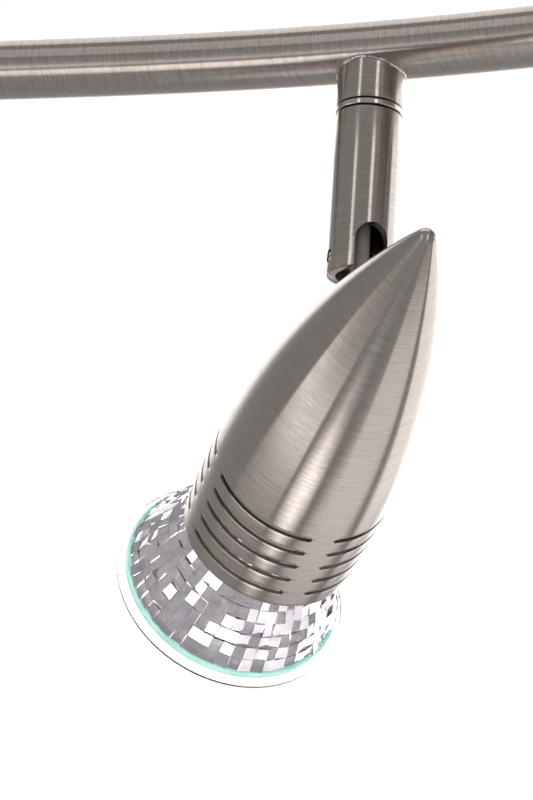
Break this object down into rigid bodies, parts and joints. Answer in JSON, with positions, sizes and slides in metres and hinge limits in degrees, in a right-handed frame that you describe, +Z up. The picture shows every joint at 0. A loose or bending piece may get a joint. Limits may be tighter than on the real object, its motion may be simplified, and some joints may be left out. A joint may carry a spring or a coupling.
{
  "type": "track lighting fixture",
  "caption": "Ceiling spotlight bar: a waved oval bar hung under a round canopy, with slotted stems carrying panning and tilting bullet-shaped heads that hold twist-in reflector lamps.",
  "frame": {"origin": "centre of the canopy, in the plane where it and its bracket meet the ceiling", "axes": "+Z up into the ceiling, +X along the bar, +Y towards the back of the room; the heads hang below"},
  "size_m": [0.4058, 0.1266, 0.1563],
  "materials": {
    "nickel": "satin nickel plate over steel tube and sheet, brushed round each turned piece and along the bar",
    "zinc": "bright zinc plated steel",
    "brass": "plain turned brass",
    "ceramic": "unglazed steatite ceramic",
    "woven_sleeve": "woven glass-fibre sleeving, olive grey",
    "reflector": "pressed glass bowl with a bright vapour coating on its inside",
    "glass": "clear pressed glass",
    "nylon": "moulded white nylon",
    "cable": "heat-proof silicone insulation"
  },
  "bodies": {
    "fixture": {"bar": "nickel", "end_cap_left": "nickel", "end_cap_right": "nickel", "canopy": "nickel", "ceiling_bracket": "zinc", "terminal_block": "nylon", "earth_screw": "brass", "canopy_screw_front": "nickel", "canopy_screw_back": "nickel", "hanger_spacer_1": "nickel", "hanger_spacer_2": "nickel", "hanger_nipple_1": "zinc", "hanger_nipple_2": "zinc", "hanger_nut_1": "brass", "hanger_nut_2": "brass", "feed_cable_1": "cable", "feed_cable_2": "cable", "saddle_collar_1": "nickel", "saddle_nut_1": "zinc", "swivel_nipple_1": "zinc", "swivel_washer_1": "nickel", "saddle_collar_2": "nickel", "saddle_nut_2": "zinc", "swivel_nipple_2": "zinc", "swivel_washer_2": "nickel"},
    "stem_1": {"stem_1": "nickel", "grub_screw_1": "zinc", "pivot_screw_left_1": "zinc", "pivot_screw_right_1": "zinc", "sleeve_upper_1": "woven_sleeve"},
    "head_1": {"knuckle_1": "nickel", "knuckle_nut_1": "brass", "head_shell_1": "nickel", "holder_bracket_1": "zinc", "lampholder_1": "ceramic", "holder_screw_left_1": "zinc", "holder_screw_right_1": "zinc", "sleeve_lower_1": "woven_sleeve"},
    "lamp_1": {"lamp_bowl_1": "reflector", "lamp_base_1": "ceramic", "front_glass_1": "glass", "capsule_1": "glass"},
    "stem_2": {"stem_2": "nickel", "grub_screw_2": "zinc", "pivot_screw_left_2": "zinc", "pivot_screw_right_2": "zinc", "sleeve_upper_2": "woven_sleeve"},
    "head_2": {"knuckle_2": "nickel", "knuckle_nut_2": "brass", "head_shell_2": "nickel", "holder_bracket_2": "zinc", "lampholder_2": "ceramic", "holder_screw_left_2": "zinc", "holder_screw_right_2": "zinc", "sleeve_lower_2": "woven_sleeve"},
    "lamp_2": {"lamp_bowl_2": "reflector", "lamp_base_2": "ceramic", "front_glass_2": "glass", "capsule_2": "glass"}
  },
  "joints": [
    {"name": "pan_1", "type": "hinge", "parent": "fixture", "child": "stem_1", "pos_m": [-0.1, 0.0075, -0.0686], "axis": [0, 0, 1], "range_deg": [-165, 165]},
    {"name": "tilt_1", "type": "hinge", "parent": "stem_1", "child": "head_1", "pos_m": [-0.1, 0.0075, -0.0829], "axis": [-0.7955, -0.606, 0], "range_deg": [-21.7, 68.3]},
    {"name": "twist_1", "type": "hinge", "parent": "head_1", "child": "lamp_1", "pos_m": [-0.11291, 0.02445, -0.11604], "axis": [0.5879, -0.7516, 0.299], "range_deg": [0, 35]},
    {"name": "pan_2", "type": "hinge", "parent": "fixture", "child": "stem_2", "pos_m": [0.1, -0.0075, -0.0686], "axis": [0, 0, 1], "range_deg": [-165, 165]},
    {"name": "tilt_2", "type": "hinge", "parent": "stem_2", "child": "head_2", "pos_m": [0.1, -0.0075, -0.0829], "axis": [-0.7955, 0.606, 0], "range_deg": [-21.7, 68.3]},
    {"name": "twist_2", "type": "hinge", "parent": "head_2", "child": "lamp_2", "pos_m": [0.11291, 0.00945, -0.11604], "axis": [-0.5685, -0.7664, 0.299], "range_deg": [0, 35]}
  ]
}
